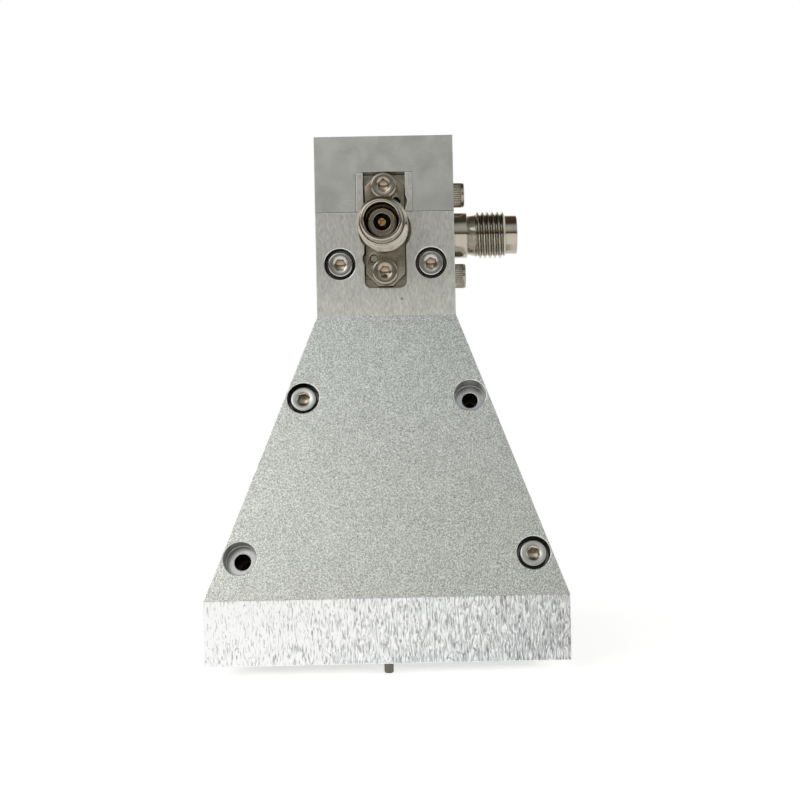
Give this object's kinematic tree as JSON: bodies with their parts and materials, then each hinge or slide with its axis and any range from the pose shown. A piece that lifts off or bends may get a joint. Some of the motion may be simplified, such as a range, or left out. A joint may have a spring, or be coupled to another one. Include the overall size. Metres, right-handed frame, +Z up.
{
  "type": "horn antenna",
  "caption": "Square pyramidal horn antenna of bolted milled plates with tapered ridges inside, a square neck under a block cap, and small coaxial jacks at right angles on the neck.",
  "frame": {"origin": "centre of the mouth's plane", "axes": "+Z up the horn's axis from the mouth to the cap, so the beam leaves along -Z; -Y towards the front jack, +X towards the right jack"},
  "size_m": [0.048, 0.048, 0.0738],
  "materials": {
    "plate": "milled aluminium with a fine directional grain",
    "cap": "smoother satin aluminium with faint scratches",
    "jack": "turned and passivated stainless steel, glossy",
    "contact": "gold plated",
    "bead": "dark support bead",
    "sleeve": "white low-loss plastic",
    "flange_screw": "stainless steel, knurled head",
    "screw": "stainless steel",
    "rim_pin": "dark ground steel"
  },
  "bodies": {
    "root": {"front_plate": "plate", "back_plate": "plate", "left_plate": "plate", "right_plate": "plate", "cap": "cap", "front_jack_body": "jack", "front_jack_bush": "jack", "front_jack_bead": "bead", "front_jack_contact": "contact", "front_probe": "contact", "front_probe_sleeve": "sleeve", "front_flange_pin": "flange_screw", "front_flange_screws": "flange_screw", "right_jack_body": "jack", "right_jack_bush": "jack", "right_jack_bead": "bead", "right_jack_contact": "contact", "right_probe": "contact", "right_probe_sleeve": "sleeve", "right_flange_pin": "flange_screw", "right_flange_screws": "flange_screw", "front_neck_screws": "screw", "front_flare_screws": "screw", "back_neck_screws": "screw", "back_flare_screws": "screw", "cap_screws": "screw", "rim_pin": "rim_pin"}
  },
  "joints": []
}
